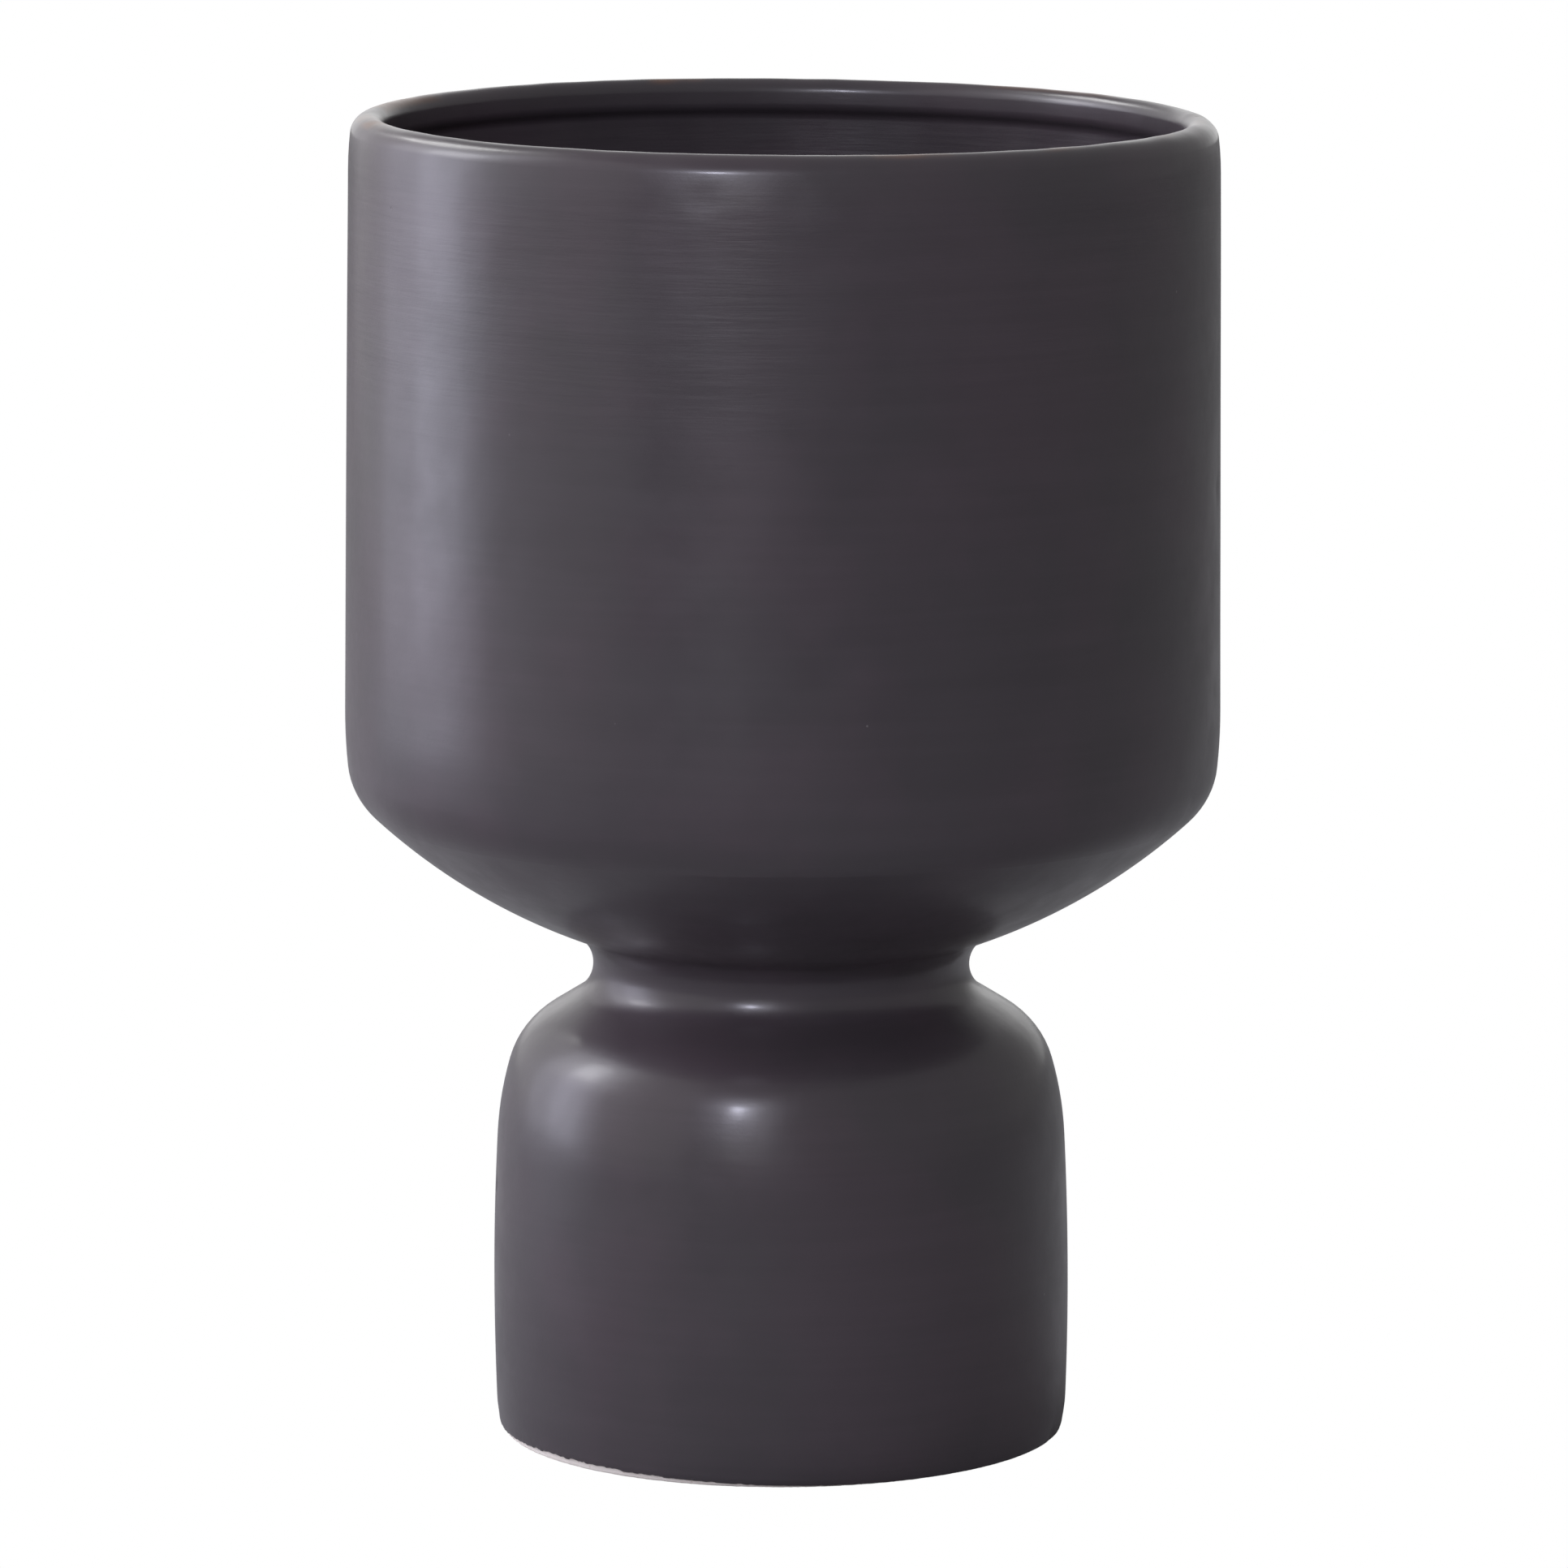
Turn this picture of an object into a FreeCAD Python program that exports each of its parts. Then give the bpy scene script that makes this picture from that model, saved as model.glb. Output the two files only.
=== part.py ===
"""Footed ceramic candle vessel: a deep bowl luted onto a hollow bell-shaped foot, glazed inside and out.

Frame: +Z up, origin on the axis at the plane of the standing ring, millimetres. Every piece is a
ring turned about Z. All surfaces are layers of one outline: clay and glaze lie at named depths under
the finished outside, on the same arc centres, so each piece meets the next face to face.
"""
import FreeCAD, Part
import math
import os

import Sketcher

# Driving sizes, in millimetres; wall_draft and shoulder_slope are degrees from the vertical.
SIZES = {
    # overall
    "overall_height": 200.3,
    "bowl_radius": 65.95,
    "belly_radius": 43.69,
    "waist_height": 71.42,
    "waist_inset": 15.18,
    # outside of the bowl
    "wall_draft": 0.557,
    "wall_ease": 80.0,
    "ease_rise": 6.8,
    "corner_round": 10.7,
    "underside_curve": 90.9,
    "neck_round": 5.4,
    # lip and the rolled bead inside it
    "lip_ease": 50.0,
    "lip_round": 3.0,
    "crest_inset": 3.23,
    "nose_round": 2.0,
    "bead_round": 1.8,
    "bead_height": 3.6,
    "recess_round": 1.5,
    # outside of the foot
    "shoulder_slope": 58.15,
    "shoulder_round": 13.2,
    "haunch_curve": 50.5,
    "haunch_drop": 28.87,
    "belly_height": 21.5,
    "belly_curve": 460.0,
    "base_curve": 19.0,
    "base_curve_height": 5.6,
    # clay
    "bowl_wall": 3.1,
    "foot_wall": 3.4,
    "ring_edge_round": 1.0,
    "spigot_wall": 3.5,
    "spigot_depth": 4.0,
    "seam_gap": 0.8,
    "slip_gap": 0.6,
    # glaze
    "outer_glaze": 0.37,
    "bowl_glaze": 0.35,
    "foot_glaze": 0.3,
    "outer_wipe": 1.3,
    "inner_wipe": 3.0,
}

# Places that follow from the sizes: arc centres on the outline, the seam and the spigot.
WALL_SIDE = "(wall_x * cos(draft) + widest_z * sin(draft) + sizes.wall_ease)"
PLACES = {
    "draft": "sizes.wall_draft * 1 deg",
    "slope": "sizes.shoulder_slope * 1 deg",
    "waist_radius": "sizes.belly_radius - sizes.waist_inset",
    "neck_x": "waist_radius + sizes.neck_round",
    "belly_x": "sizes.belly_radius - sizes.belly_curve",
    "base_x": "belly_x + sqrt((sizes.belly_curve - sizes.base_curve)^2"
              " - (sizes.belly_height - sizes.base_curve_height)^2)",
    "haunch_z": "sizes.waist_height - sizes.haunch_drop",
    "haunch_x": "belly_x + sqrt((sizes.belly_curve - sizes.haunch_curve)^2"
                " - (haunch_z - sizes.belly_height)^2)",
    "shoulder_across": "(neck_x - haunch_x) * cos(slope) + (sizes.waist_height - haunch_z) * sin(slope)"
                       " - sizes.neck_round - sizes.shoulder_round",
    "shoulder_along": "sqrt((sizes.haunch_curve - sizes.shoulder_round)^2 - shoulder_across^2)",
    "shoulder_x": "haunch_x + shoulder_across * cos(slope) + shoulder_along * sin(slope)",
    "shoulder_z": "haunch_z + shoulder_across * sin(slope) - shoulder_along * cos(slope)",
    "sphere_z": "sizes.waist_height + sqrt((sizes.underside_curve + sizes.neck_round)^2 - neck_x^2)",
    "wall_x": "sizes.bowl_radius - sizes.wall_ease",
    "corner_x": "wall_x + sqrt((sizes.wall_ease - sizes.corner_round)^2 - sizes.ease_rise^2)",
    "corner_z": "sphere_z - sqrt((sizes.underside_curve - sizes.corner_round)^2 - corner_x^2)",
    "widest_z": "corner_z + sizes.ease_rise",
    "crest_radius": "sizes.bowl_radius - (sizes.overall_height - widest_z) * tan(draft)"
                    " - sizes.crest_inset",
    "lip_z": "sizes.overall_height - sizes.lip_round",
    "lip_across": WALL_SIDE + " - sizes.lip_ease - crest_radius * cos(draft) - lip_z * sin(draft)",
    "lip_along": "sqrt((sizes.lip_ease - sizes.lip_round)^2 - lip_across^2)",
    "lip_ease_x": "crest_radius + lip_across * cos(draft) + lip_along * sin(draft)",
    "lip_ease_z": "lip_z + lip_across * sin(draft) - lip_along * cos(draft)",
    "nose_z": "sizes.overall_height - sizes.nose_round",
    "bead_x": "crest_radius - sizes.nose_round + sizes.bead_round",
    "bead_z": "sizes.overall_height - sizes.bead_height",
    "bowl_depth": "sizes.outer_glaze + sizes.bowl_wall + sizes.bowl_glaze",
    "recess_across": WALL_SIDE + " - bowl_depth - sizes.recess_round"
                     " - bead_x * cos(draft) - bead_z * sin(draft)",
    "recess_along": "sqrt((sizes.bead_round + sizes.recess_round)^2 - recess_across^2)",
    "recess_x": "bead_x + recess_across * cos(draft) + recess_along * sin(draft)",
    "recess_z": "bead_z + recess_across * sin(draft) - recess_along * cos(draft)",
    "seam_top": "sizes.waist_height + sizes.seam_gap / 2",
    "seam_bottom": "sizes.waist_height - sizes.seam_gap / 2",
    "spigot_outer": "waist_radius - sizes.outer_glaze - sizes.foot_wall - sizes.slip_gap",
    "spigot_inner": "spigot_outer - sizes.spigot_wall",
    "spigot_end": "seam_bottom - sizes.spigot_depth",
}

# Depths of the layers under the finished outside.
FINISHED = "0"
CLAY = "sizes.outer_glaze"
BOWL_CLAY_INSIDE = "sizes.outer_glaze + sizes.bowl_wall"
BOWL_INSIDE = BOWL_CLAY_INSIDE + " + sizes.bowl_glaze"
FOOT_CLAY_INSIDE = "sizes.outer_glaze + sizes.foot_wall"
FOOT_INSIDE = FOOT_CLAY_INSIDE + " + sizes.foot_glaze"

# Bends of the outline from the ground up: (centre x, centre z, radius, side). Side +1 bulges outwards
# and side -1 is hollow. Straight runs: (angle from +X in degrees).
OUTER_RUN = {
    "base": ("base_x", "sizes.base_curve_height", "sizes.base_curve", 1),
    "belly": ("belly_x", "sizes.belly_height", "sizes.belly_curve", 1),
    "haunch": ("haunch_x", "haunch_z", "sizes.haunch_curve", 1),
    "shoulder": ("shoulder_x", "shoulder_z", "sizes.shoulder_round", 1),
    "slope": ("90 + sizes.shoulder_slope",),
    "neck": ("neck_x", "sizes.waist_height", "sizes.neck_round", -1),
    "underside": ("0", "sphere_z", "sizes.underside_curve", 1),
    "corner": ("corner_x", "corner_z", "sizes.corner_round", 1),
    "wall_foot": ("wall_x", "widest_z", "sizes.wall_ease", 1),
    "wall": ("90 + sizes.wall_draft",),
    "lip_ease": ("lip_ease_x", "lip_ease_z", "sizes.lip_ease", 1),
    "lip": ("crest_radius", "lip_z", "sizes.lip_round", 1),
}
INNER_LIP_RUN = {
    "recess": ("recess_x", "recess_z", "sizes.recess_round", 1),
    "bead": ("bead_x", "bead_z", "sizes.bead_round", -1),
    "flank": ("90",),
    "nose": ("crest_radius", "nose_z", "sizes.nose_round", -1),
}
# Centre coordinates that a sketch is given; tangency settles the others.
GIVEN_CENTRES = {
    "base": "z",
    "belly": "xz",
    "haunch": "z",
    "shoulder": "",
    "neck": "xz",
    "underside": "x",
    "corner": "",
    "wall_foot": "x",
    "lip_ease": "",
    "lip": "xz",
    "recess": "",
    "bead": "z",
    "nose": "xz",
}

doc = FreeCAD.newDocument("candle_vessel")


def write_sheet(name, cells, prefix):
    """One row for each value: its name in column A, and the value under that alias in column B."""
    sheet = doc.addObject("Spreadsheet::Sheet", name)
    for row, (alias, value) in enumerate(cells.items(), start=1):
        sheet.set(f"A{row}", alias)
        sheet.set(f"B{row}", f"{prefix}{value}")
        sheet.setAlias(f"B{row}", alias)
    doc.recompute()
    return sheet


sizes = write_sheet("sizes", SIZES, "")
places = write_sheet("places", PLACES, "=")


def spelled(text):
    """The expression with each place's name written as places.NAME, as other objects refer to it."""
    words = text.replace("(", " ( ").replace(")", " ) ").split(" ")
    return " ".join(f"places.{word}" if word in PLACES else word for word in words)


def number(text):
    value = sizes.evalExpression(spelled(text))
    return float(getattr(value, "Value", value))


def bind(sketch, constraint, text):
    """Adds a constraint whose value follows the sheets."""
    index = sketch.addConstraint(constraint)
    sketch.setExpression(f"Constraints[{index}]", spelled(text))


class Outline:
    """One closed sketch on a body's XZ plane: sketch x is the radius, and sketch y is the height."""

    def __init__(self, body, name):
        self.sketch = body.newObject("Sketcher::SketchObject", name)
        plane = next(f for f in body.Origin.OriginFeatures if f.Role == "XZ_Plane")
        self.sketch.AttachmentSupport = [(plane, "")]
        self.sketch.MapMode = "FlatFace"

    def place(self, geometry, point, x=None, z=None):
        """Fixes a point's radius and height to expressions."""
        for kind, text in (("DistanceX", x), ("DistanceY", z)):
            if text is not None:
                constraint = Sketcher.Constraint(kind, -1, 1, geometry, point, number(text))
                bind(self.sketch, constraint, text)

    def run(self, names, depth, start=None, end=None):
        """A run of tangent bends and straights at a depth under the finished outside, travelled upwards.

        start and end are the heights where the run is cut off; with none, it starts on the axis or
        ends level, at the crest. Gives its two ends as (geometry, point).
        """
        bends = [self.bend(name, depth) for name in names]
        normals = [self.normal(a, b) for a, b in zip(bends, bends[1:])]
        normals.insert(0, self.first_normal(bends[0], start))
        normals.append(self.last_normal(bends[-1], end))
        ends = []
        for index, bend in enumerate(bends):
            ends.append(self.draw(bend, bends, index, normals[index], normals[index + 1]))
        for (_, last), (first, _) in zip(ends, ends[1:]):
            self.sketch.addConstraint(Sketcher.Constraint("Tangent", *last, *first))
        self.fix_centres(names, ends)
        first, last = ends[0][0], ends[-1][1]
        if start is None:
            self.sketch.addConstraint(Sketcher.Constraint("PointOnObject", *first, -2))
        else:
            self.place(*first, z=start)
        if end is None:
            self.sketch.addConstraint(Sketcher.Constraint("Vertical", last[0], 3, *last))
        else:
            self.place(*last, z=end)
        return first, last

    def bend(self, name, depth):
        """A bend as (centre, signed radius, radius text) or a straight as (unit normal, angle text)."""
        inner_lip = name in INNER_LIP_RUN
        entry = INNER_LIP_RUN[name] if inner_lip else OUTER_RUN[name]
        if len(entry) == 1:
            across = math.radians(number(entry[0]) - 90)
            return (FreeCAD.Vector(math.cos(across), math.sin(across)), None, entry[0])
        x, z, radius, side = entry
        under = f"({depth})"
        if inner_lip:
            under = f"({depth} - ({BOWL_INSIDE}))"
        sign = "-" if side > 0 else "+"
        text = f"{radius} {sign} {under}"
        return (FreeCAD.Vector(number(x), number(z)), side * number(text), text)

    def normal(self, a, b):
        """The outward direction where one element of a run meets the next."""
        if a[1] is None:
            return a[0]
        if b[1] is None:
            return b[0]
        return (b[0] - a[0]) / (a[1] - b[1])

    def first_normal(self, bend, start):
        centre, radius, _ = bend
        if start is None:
            across = -centre.x / radius
            return FreeCAD.Vector(across, -math.sqrt(1 - across**2))
        return self.level_normal(centre, radius, start)

    def last_normal(self, bend, end):
        centre, radius, _ = bend
        if end is None:
            return FreeCAD.Vector(0, math.copysign(1, radius))
        return self.level_normal(centre, radius, end)

    def level_normal(self, centre, radius, height):
        rise = (number(height) - centre.y) / radius
        return FreeCAD.Vector(math.sqrt(1 - rise**2), rise)

    def draw(self, bend, bends, index, low, high):
        """Draws one element; gives its lower and upper end."""
        where, radius, text = bend
        if radius is None:
            below, above = bends[index - 1], bends[index + 1]
            start = below[0] + where * below[1]
            end = above[0] + where * above[1]
            line = self.sketch.addGeometry(Part.LineSegment(start, end), False)
            if text == "90":
                self.sketch.addConstraint(Sketcher.Constraint("Vertical", line))
            else:
                angle = Sketcher.Constraint("Angle", line, math.radians(number(text)))
                bind(self.sketch, angle, f"({text}) * 1 deg")
            return (line, 1), (line, 2)
        if radius < 0:
            low, high = -high, -low
        circle = Part.Circle(where, FreeCAD.Vector(0, 0, 1), abs(radius))
        first, last = math.atan2(low.y, low.x), math.atan2(high.y, high.x)
        if last < first:
            last += 2 * math.pi
        arc = self.sketch.addGeometry(Part.ArcOfCircle(circle, first, last), False)
        bind(self.sketch, Sketcher.Constraint("Radius", arc, abs(radius)), text)
        return ((arc, 1), (arc, 2)) if radius > 0 else ((arc, 2), (arc, 1))

    def fix_centres(self, names, ends):
        geometry = {name: first[0] for name, (first, _) in zip(names, ends)}
        for name, index in geometry.items():
            given = GIVEN_CENTRES.get(name, "")
            if name == "underside" and name == names[0]:
                given = "xz"
            x, z = {**OUTER_RUN, **INNER_LIP_RUN}[name][:2] if given else (None, None)
            if x == "0" and "x" in given:
                self.sketch.addConstraint(Sketcher.Constraint("PointOnObject", index, 3, -2))
                x = None
            self.place(index, 3, x if "x" in given else None, z if "z" in given else None)
        if "corner" in geometry and "wall_foot" in geometry:
            rise = Sketcher.Constraint(
                "DistanceY", geometry["corner"], 3, geometry["wall_foot"], 3, number("sizes.ease_rise")
            )
            bind(self.sketch, rise, "sizes.ease_rise")

    def join(self, a, b):
        """A straight edge between two ends."""
        start = self.sketch.getPoint(*a)
        end = self.sketch.getPoint(*b)
        line = self.sketch.addGeometry(Part.LineSegment(start, end), False)
        self.sketch.addConstraint(Sketcher.Constraint("Coincident", line, 1, *a))
        self.sketch.addConstraint(Sketcher.Constraint("Coincident", line, 2, *b))

    def steps(self, a, corners, b):
        """Straight edges from end a through corners to end b; corners are (radius text, height text)."""
        before = a
        for x, z in corners:
            start = self.sketch.getPoint(*before)
            end = FreeCAD.Vector(number(x), number(z))
            line = self.sketch.addGeometry(Part.LineSegment(start, end), False)
            self.sketch.addConstraint(Sketcher.Constraint("Coincident", line, 1, *before))
            self.place(line, 2, x, z)
            before = (line, 2)
        self.join(before, b)

    def dome(self, edge, depth):
        """The bowl's round underside from the axis out to a radius; gives its two ends."""
        centre = FreeCAD.Vector(0, number("sphere_z"))
        text = f"sizes.underside_curve - ({depth})"
        radius = number(text)
        circle = Part.Circle(centre, FreeCAD.Vector(0, 0, 1), radius)
        reach = math.asin(number(edge) / radius)
        arc = self.sketch.addGeometry(Part.ArcOfCircle(circle, -math.pi / 2, reach - math.pi / 2), False)
        bind(self.sketch, Sketcher.Constraint("Radius", arc, radius), text)
        self.sketch.addConstraint(Sketcher.Constraint("PointOnObject", arc, 3, -2))
        self.place(arc, 3, z="sphere_z")
        self.sketch.addConstraint(Sketcher.Constraint("PointOnObject", arc, 1, -2))
        self.place(arc, 2, x=edge)
        return (arc, 1), (arc, 2)


def turned(body, outline, name):
    """Turns a closed sketch once about the vessel's axis."""
    turn = body.newObject("PartDesign::Revolution", name)
    turn.Profile = outline.sketch
    turn.ReferenceAxis = (outline.sketch, ["V_Axis"])
    turn.Angle = 360
    outline.sketch.Visibility = False
    doc.recompute()
    return turn


def new_body(label):
    body = doc.addObject("PartDesign::Body", label)
    body.Label = label
    return body


UNDER_BOWL = ["neck", "underside", "corner", "wall_foot", "wall", "lip_ease", "lip"]
FOOT_SIDE = ["base", "belly", "haunch", "shoulder", "slope", "neck"]
BOWL_CAVITY = ["underside", "corner", "wall_foot", "wall", "recess", "bead", "flank", "nose"]


def bowl_casting():
    """Wall, lip with its rolled bead, even floor, neck stub and the spigot ring inside the collar."""
    body = new_body("bowl_casting")
    outline = Outline(body, "bowl_casting_outline")
    stub, crest = outline.run(UNDER_BOWL, CLAY, start="seam_top")
    floor, inner_crest = outline.run(BOWL_CAVITY, BOWL_CLAY_INSIDE)
    outline.join(crest, inner_crest)
    dome = outline.dome("spigot_inner", CLAY)
    outline.join(floor, dome[0])
    outline.steps(dome[1], [("spigot_inner", "spigot_end"), ("spigot_outer", "spigot_end"),
                            ("spigot_outer", "seam_top")], stub)
    turned(body, outline, "bowl_casting_turn")
    return body


def foot_casting():
    """Hollow bell with a shoulder, an open collar at the waist and a bare, rounded standing ring."""
    body = new_body("foot_casting")
    outline = Outline(body, "foot_casting_outline")
    ring_outer, collar_outer = outline.run(FOOT_SIDE, CLAY, start="0", end="seam_bottom")
    ring_inner, collar_inner = outline.run(FOOT_SIDE, FOOT_CLAY_INSIDE, start="0", end="seam_bottom")
    outline.join(ring_inner, ring_outer)
    outline.join(collar_outer, collar_inner)
    turn = turned(body, outline, "foot_casting_turn")
    on_ground = [
        f"Edge{i}" for i, edge in enumerate(turn.Shape.Edges, start=1) if edge.BoundBox.ZMax < 0.01
    ]
    rounds = body.newObject("PartDesign::Fillet", "standing_ring_rounds")
    rounds.Base = (turn, on_ground)
    rounds.setExpression("Radius", "sizes.ring_edge_round")
    return body


def luting_slip():
    """Joining clay between the two castings: a flat seam at the waist and a sleeve round the spigot."""
    body = new_body("luting_slip")
    outline = Outline(body, "luting_slip_outline")
    low, high = outline.run(["neck"], CLAY, start="seam_bottom", end="seam_top")
    sleeve_end, sleeve_top = outline.run(["neck"], FOOT_CLAY_INSIDE, start="spigot_end", end="seam_bottom")
    outline.join(low, sleeve_top)
    outline.steps(high, [("spigot_outer", "seam_top"), ("spigot_outer", "spigot_end")], sleeve_end)
    turned(body, outline, "luting_slip_turn")
    return body


def outer_glaze():
    """One coat from the wiped edge above the standing ring, over the waist, up to the lip's crest."""
    body = new_body("outer_glaze")
    outline = Outline(body, "outer_glaze_outline")
    whole = FOOT_SIDE + UNDER_BOWL[1:]
    skin_foot, skin_crest = outline.run(whole, FINISHED, start="sizes.outer_wipe")
    clay_foot, clay_crest = outline.run(whole, CLAY, start="sizes.outer_wipe")
    outline.join(skin_foot, clay_foot)
    outline.join(skin_crest, clay_crest)
    turned(body, outline, "outer_glaze_turn")
    return body


def bowl_lining_glaze():
    """Lining of the bowl: floor, wall and bead, up to the lip's crest."""
    body = new_body("bowl_lining_glaze")
    outline = Outline(body, "bowl_lining_outline")
    clay_floor, clay_crest = outline.run(BOWL_CAVITY, BOWL_CLAY_INSIDE)
    skin_floor, skin_crest = outline.run(BOWL_CAVITY, BOWL_INSIDE)
    outline.join(clay_floor, skin_floor)
    outline.join(clay_crest, skin_crest)
    turned(body, outline, "bowl_lining_turn")
    return body


def foot_lining_glaze():
    """Lining of the hollow foot, over the spigot's end and the bowl's underside inside the collar."""
    body = new_body("foot_lining_glaze")
    outline = Outline(body, "foot_lining_outline")
    clay_low, clay_high = outline.run(FOOT_SIDE, FOOT_CLAY_INSIDE, start="sizes.inner_wipe", end="spigot_end")
    lower_end = "spigot_end - sizes.foot_glaze"
    skin_low, skin_high = outline.run(FOOT_SIDE, FOOT_INSIDE, start="sizes.inner_wipe", end=lower_end)
    outline.join(clay_low, skin_low)
    clay_dome = outline.dome("spigot_inner", CLAY)
    skin_edge = "spigot_inner - sizes.foot_glaze"
    skin_dome = outline.dome(skin_edge, f"{CLAY} - sizes.foot_glaze")
    outline.join(clay_dome[0], skin_dome[0])
    outline.steps(clay_dome[1], [("spigot_inner", "spigot_end")], clay_high)
    outline.steps(skin_dome[1], [(skin_edge, lower_end)], skin_high)
    turned(body, outline, "foot_lining_turn")
    return body


BODIES = [
    bowl_casting(), foot_casting(), luting_slip(), outer_glaze(), bowl_lining_glaze(), foot_lining_glaze()
]
doc.recompute()


def check():
    """Stops before anything is written if an object failed or a piece isn't one sound solid."""
    for item in doc.Objects:
        if {"Invalid", "Error"} & set(item.State):
            raise RuntimeError(f"{item.Name} did not compute: {item.State}")
        if item.TypeId == "Sketcher::SketchObject" and item.solve() != 0:
            raise RuntimeError(f"{item.Name} is not solved")
    for body in BODIES:
        shape = body.Shape
        if shape.isNull() or not shape.isValid() or len(shape.Solids) != 1:
            raise RuntimeError(f"{body.Label} is not one sound solid")


check()
os.makedirs("parts", exist_ok=True)
for piece in BODIES:
    piece.Shape.exportStep(f"parts/{piece.Label}.step")
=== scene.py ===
"""Footed ceramic candle vessel: two clay castings luted at the waist, in a satin charcoal-plum glaze.

Every piece is one edge chain, grown by spinning a vertex round the outline's arc centres and then spun
once round the vessel's axis. All pieces then settle together: the bowl leans a little on its foot, the lip
dips to one side, and the surfaces keep the shallow dents of hand work. Lengths are in millimetres unless
said otherwise, and MM turns them to metres.
"""
import math

import bmesh
import bpy
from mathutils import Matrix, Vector, noise


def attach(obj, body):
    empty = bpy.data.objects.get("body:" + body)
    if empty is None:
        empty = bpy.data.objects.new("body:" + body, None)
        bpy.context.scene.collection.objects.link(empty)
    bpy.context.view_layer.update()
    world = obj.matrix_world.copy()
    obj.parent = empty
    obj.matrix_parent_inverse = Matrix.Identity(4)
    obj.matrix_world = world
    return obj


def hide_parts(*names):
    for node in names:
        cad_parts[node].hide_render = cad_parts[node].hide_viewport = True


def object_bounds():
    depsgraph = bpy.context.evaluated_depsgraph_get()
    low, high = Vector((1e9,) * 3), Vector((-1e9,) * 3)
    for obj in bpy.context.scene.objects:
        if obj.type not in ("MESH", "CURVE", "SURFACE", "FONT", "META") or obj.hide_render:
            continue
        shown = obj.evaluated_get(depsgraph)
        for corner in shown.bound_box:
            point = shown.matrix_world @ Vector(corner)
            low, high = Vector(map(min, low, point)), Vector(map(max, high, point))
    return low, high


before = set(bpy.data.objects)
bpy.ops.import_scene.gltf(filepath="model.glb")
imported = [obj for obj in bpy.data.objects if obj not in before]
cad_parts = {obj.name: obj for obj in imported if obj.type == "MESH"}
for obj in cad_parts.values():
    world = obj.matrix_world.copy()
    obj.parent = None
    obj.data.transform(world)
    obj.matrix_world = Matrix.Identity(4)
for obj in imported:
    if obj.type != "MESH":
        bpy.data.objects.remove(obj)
cad_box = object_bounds()

MM = 0.001
UP = Vector((0, 0, 1))

# How far the fired vessel strays from true.
BOWL_LEAN = math.radians(0.2)
LIP_SLANT = math.radians(0.23)
FOOT_OFFSET = -0.24

# Overall sizes come from the frame; the lip's high side reaches the frame's top.
BOWL_RADIUS = cad_box[1].x / MM
LIP_DIP = BOWL_RADIUS * (math.tan(BOWL_LEAN) + math.tan(LIP_SLANT))
HEIGHT = cad_box[1].z / MM - LIP_DIP

# The finished outline: the bowl from its wall down and from its lip in, then the foot from its belly out.
WALL_DRAFT = math.radians(0.557)
WALL_EASE = 80.0
EASE_RISE = 6.8
CORNER_ROUND = 10.7
UNDERSIDE_CURVE = 90.9
NECK_ROUND = 5.4
LIP_EASE = 50.0
LIP_ROUND = 3.0
CREST_INSET = 3.23
NOSE_ROUND = 2.0
BEAD_ROUND = 1.8
BEAD_HEIGHT = 3.6
RECESS_ROUND = 1.5
BELLY_RADIUS = 43.69
WAIST_HEIGHT = 71.42
WAIST_INSET = 15.18
WAIST_RADIUS = BELLY_RADIUS - WAIST_INSET
SHOULDER_SLOPE = math.radians(58.15)
SHOULDER_ROUND = 13.2
HAUNCH_CURVE = 50.5
HAUNCH_DROP = 28.87
BELLY_HEIGHT = 21.5
BELLY_CURVE = 460.0
BASE_CURVE = 19.0
BASE_CURVE_HEIGHT = 5.6

# Layers, as depths under the finished outside.
OUTER_GLAZE = 0.37
BOWL_WALL = 3.1
FOOT_WALL = 3.4
BOWL_CLAY_INSIDE = OUTER_GLAZE + BOWL_WALL
BOWL_GLAZE = 0.35
BOWL_INSIDE = BOWL_CLAY_INSIDE + BOWL_GLAZE
FOOT_CLAY_INSIDE = OUTER_GLAZE + FOOT_WALL
FOOT_GLAZE = 0.3
FOOT_INSIDE = FOOT_CLAY_INSIDE + FOOT_GLAZE

# The luted joint at the waist: a flat seam, and a spigot ring in the foot's collar.
SEAM_GAP = 0.8
SEAM_TOP = WAIST_HEIGHT + SEAM_GAP / 2
SEAM_BOTTOM = WAIST_HEIGHT - SEAM_GAP / 2
SPIGOT_GAP = 0.6
SPIGOT_WALL = 3.5
SPIGOT_DROP = 4.0
SPIGOT_OUTER = WAIST_RADIUS - FOOT_CLAY_INSIDE - SPIGOT_GAP
SPIGOT_INNER = SPIGOT_OUTER - SPIGOT_WALL
SPIGOT_END = SEAM_BOTTOM - SPIGOT_DROP

# The glaze's lower edges, and the standing ring's rounding.
HEM_START = 0.5
HEM_ZONE = 2.6
HEM_TOP = 4.0
INNER_WIPE = 3.0
RING_EDGE = 0.38
BASE_BEND_TOP = 5.0

# Mesh density: steps in a turn, and the longest row along the outline.
TURN_STEPS = 240
FINE_ROW = 1.8
PLAIN_ROW = 4.0
HEM_ROW = 0.25
RING_ROW = 0.4
BEND_ROW_SHARE = 0.1
SMALLEST_ROW = 0.12
DOME_STEPS = 12
HEM_EDGE_STEPS = 6
RING_EDGE_STEPS = 5
EDGE_CUTS = 2
LONG_EDGE = 0.6

# Tolerances, in metres.
WELD = 1e-7
SAME_RING = 1e-6
DEGENERATE = 1e-8
SAME_POINT = 1e-9


# ---------------------------------------------------------------- outline

def reach(longer, rise):
    return math.sqrt(longer**2 - rise**2)


def facing(angle):
    return Vector((math.cos(angle), math.sin(angle)))


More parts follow.
